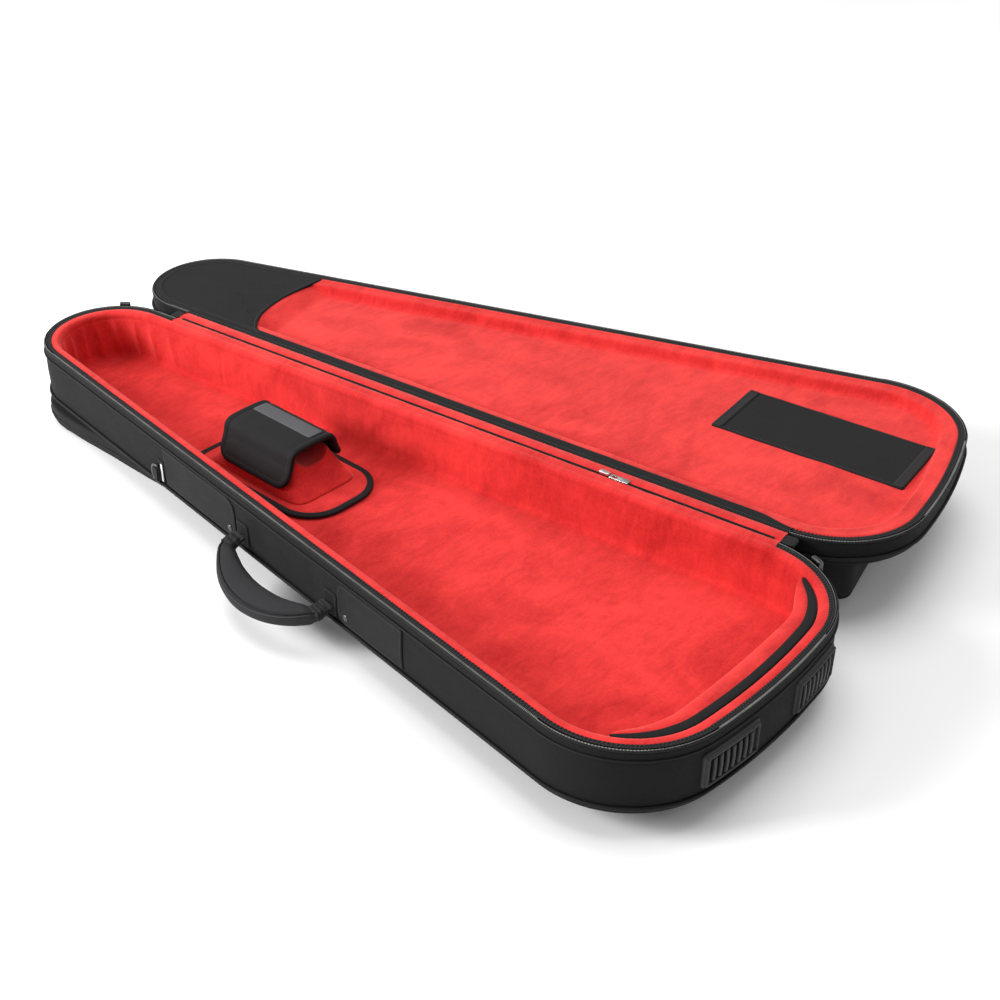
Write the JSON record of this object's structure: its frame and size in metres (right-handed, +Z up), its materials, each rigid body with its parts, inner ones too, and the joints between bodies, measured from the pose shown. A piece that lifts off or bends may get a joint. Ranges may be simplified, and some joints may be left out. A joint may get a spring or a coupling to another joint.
{
  "type": "padded guitar gig bag",
  "caption": "Padded gig bag lying open: tapered zip-round tray with plush lining, neck cradle and strap, butt block, carry handle and hinged padded lid.",
  "frame": {"origin": "on the floor, on the flat underside of the back pad, under the middle of the tray", "axes": "+X towards the wide butt end, +Y towards the hinged long side where the lid lies open, +Z up"},
  "size_m": [1.1718, 0.8274, 0.1137],
  "materials": {
    "shell_cloth": "matte woven nylon",
    "panel_cloth": "matte woven nylon",
    "pocket_cloth": "matte woven nylon",
    "mesh_cloth": "spacer mesh",
    "plush": "short plush pile",
    "piping": "satin piping",
    "zipper_tape": "woven tape",
    "zipper_coil": "nylon coil",
    "webbing": "ribbed webbing",
    "dark_metal": "black nickel",
    "bright_metal": "polished nickel",
    "binding": "grosgrain binding",
    "hook_loop": "loop fastener",
    "strap_cloth": "matte woven nylon",
    "grey_label": "satin label",
    "grip_cloth": "padded grip cloth",
    "reflective": "reflective tape",
    "rubber": "moulded rubber"
  },
  "bodies": {
    "tray": {"base_shell": "shell_cloth", "side_wall": "shell_cloth", "side_panel_head": "panel_cloth", "side_panel_body": "panel_cloth", "floor_pad": "plush", "wall_lining": "plush", "hinge_gusset": "plush", "base_piping": "piping", "rim_piping": "piping", "zipper_tape_tray": "zipper_tape", "zipper_coil_tray": "zipper_coil", "lining_zip_coil": "zipper_coil", "gusset_tab_head": "webbing", "gusset_tab_butt": "webbing", "handle_anchor_head": "webbing", "handle_anchor_body": "webbing", "rivet_head": "bright_metal", "rivet_body": "bright_metal", "ring_tab": "webbing", "reflective_strip": "reflective", "foot_plate_near": "rubber", "foot_plate_far": "rubber", "harness_pocket": "pocket_cloth", "harness_tab_near": "webbing", "harness_tab_far": "webbing", "back_pad": "mesh_cloth"},
    "lid": {"lid_shell": "shell_cloth", "lid_band": "shell_cloth", "lid_piping": "piping", "lid_lining": "plush", "zipper_tape_lid": "zipper_tape", "lid_hinge_tape": "zipper_tape", "zipper_coil_lid": "zipper_coil", "lid_head_panel": "panel_cloth", "lid_bridge_patch": "hook_loop", "pocket_main": "pocket_cloth", "pocket_organiser": "pocket_cloth", "pocket_zip_coil": "zipper_coil"},
    "neck_strap_flap": {"neck_strap": "strap_cloth", "strap_binding_head": "binding", "strap_binding_butt": "binding", "strap_label": "grey_label"},
    "neck_cradle": {"cradle_block": "plush", "cradle_flange": "plush", "cradle_binding": "binding", "cradle_loop_patch": "hook_loop"},
    "butt_block": {"end_block": "plush", "end_block_binding": "binding"},
    "carry_handle": {"handle_grip": "grip_cloth", "handle_loop_head": "webbing", "handle_loop_body": "webbing"},
    "hanging_ring": {"d_ring": "dark_metal"},
    "head_slider": {"slider_head": "dark_metal"},
    "head_pull": {"slider_pull_head": "dark_metal"},
    "butt_slider": {"slider_butt": "dark_metal"},
    "butt_pull": {"slider_pull_butt": "dark_metal"},
    "gusset_slider": {"lining_slider": "bright_metal"},
    "gusset_pull": {"lining_pull": "bright_metal"},
    "pocket_zip_slider": {"pocket_slider": "dark_metal"},
    "pocket_zip_pull": {"pocket_pull": "dark_metal"}
  },
  "joints": [
    {"name": "lid_hinge", "type": "hinge", "parent": "tray", "child": "lid", "pos_m": [-0.57129, 0.08792, 0.1102], "axis": [0.9931, 0.1175, 0], "range_deg": [0, 180]},
    {"name": "neck_strap_hinge", "type": "hinge", "parent": "neck_cradle", "child": "neck_strap_flap", "pos_m": [-0.145, 0.04324, 0.069], "axis": [1, 0, 0], "range_deg": [-95, 0]},
    {"name": "cradle_slide", "type": "slide", "parent": "tray", "child": "neck_cradle", "axis": [1, 0, 0], "range_m": [-0.03, 0.03]},
    {"name": "butt_block_lift", "type": "slide", "parent": "tray", "child": "butt_block", "axis": [0, 0, -1], "range_m": [-0.075, 0]},
    {"name": "carry_handle_swing", "type": "hinge", "parent": "tray", "child": "carry_handle", "pos_m": [0.0301, -0.15407, 0.059], "axis": [0.9931, -0.1175, 0], "range_deg": [-80, 15]},
    {"name": "ring_swing", "type": "hinge", "parent": "tray", "child": "hanging_ring", "pos_m": [-0.23294, -0.12193, 0.054], "axis": [0, 0, 1], "range_deg": [0, 150]},
    {"name": "head_slider_travel", "type": "hinge", "parent": "tray", "child": "head_slider", "pos_m": [-0.48335, 0, 0.109], "axis": [0, 0, 1], "range_deg": [0, 118]},
    {"name": "head_pull_swing", "type": "hinge", "parent": "head_slider", "child": "head_pull", "pos_m": [-0.54742, 0.07116, 0.107], "axis": [0.7431, 0.6691, 0], "range_deg": [0, 110]},
    {"name": "butt_slider_travel", "type": "hinge", "parent": "tray", "child": "butt_slider", "pos_m": [0.44809, 0.07968, 0.109], "axis": [0, 0, 1], "range_deg": [-55, 0]},
    {"name": "butt_pull_swing", "type": "hinge", "parent": "butt_slider", "child": "butt_pull", "pos_m": [0.49122, 0.19818, 0.107], "axis": [0.9397, -0.342, 0], "range_deg": [0, 110]},
    {"name": "gusset_slider_travel", "type": "slide", "parent": "tray", "child": "gusset_slider", "axis": [0.9931, 0.1175, 0], "range_m": [-0.65, 0.17]},
    {"name": "gusset_pull_swing", "type": "hinge", "parent": "gusset_slider", "child": "gusset_pull", "pos_m": [0.22611, 0.17576, 0.11025], "axis": [0.1175, -0.9931, 0], "range_deg": [0, 50]},
    {"name": "pocket_slider_travel", "type": "slide", "parent": "lid", "child": "pocket_zip_slider", "axis": [0.9382, 0.3461, 0], "range_m": [-0.055, 0.38]},
    {"name": "pocket_pull_swing", "type": "hinge", "parent": "pocket_zip_slider", "child": "pocket_zip_pull", "pos_m": [-0.0731, 0.43541, 0.0454], "axis": [0.9382, 0.3461, 0], "range_deg": [0, 110]}
  ]
}
